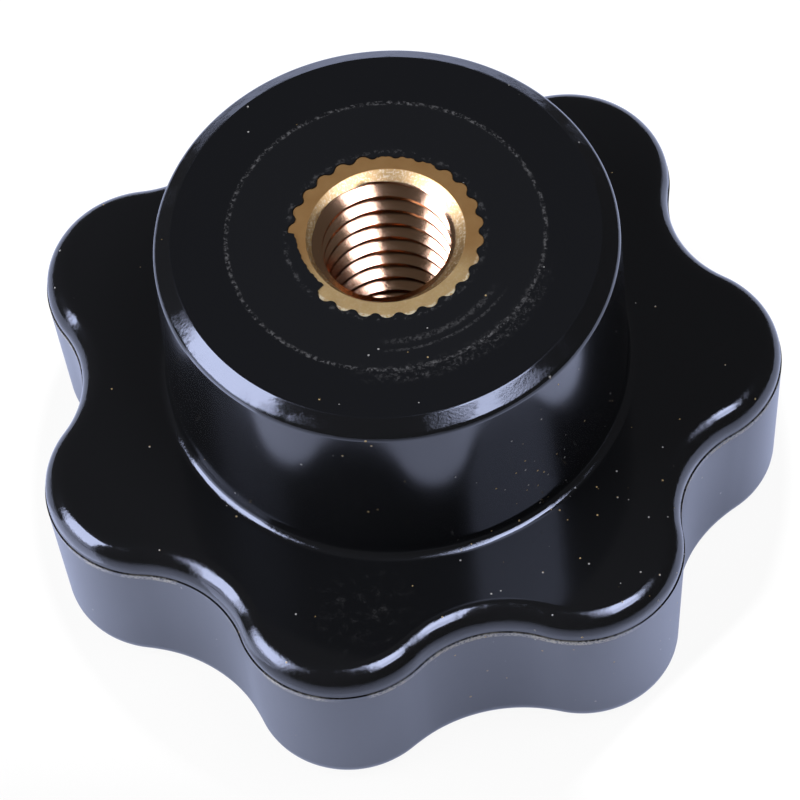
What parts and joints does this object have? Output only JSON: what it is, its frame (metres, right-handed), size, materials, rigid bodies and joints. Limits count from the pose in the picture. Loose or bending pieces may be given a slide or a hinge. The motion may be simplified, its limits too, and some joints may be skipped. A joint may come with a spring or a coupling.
{
  "type": "star knob",
  "caption": "Black star-shaped clamping knob with a round hub and a knurled brass bush, tapped from the hub side.",
  "frame": {"origin": "on the knob's axis at the flat grip face, which is the face it rests on here", "axes": "+Z along the axis from the grip face to the hub's face and out of the threaded hole; one lobe points along +X"},
  "size_m": [0.0386, 0.0392, 0.0222],
  "materials": {
    "phenolic": "black phenolic moulding, glossy from the mould, with a satin turned hub face",
    "brass": "plain machined brass, faced on its end and bright in the thread"
  },
  "bodies": {
    "root": {"knob_body": "phenolic", "threaded_insert": "brass"}
  },
  "joints": []
}
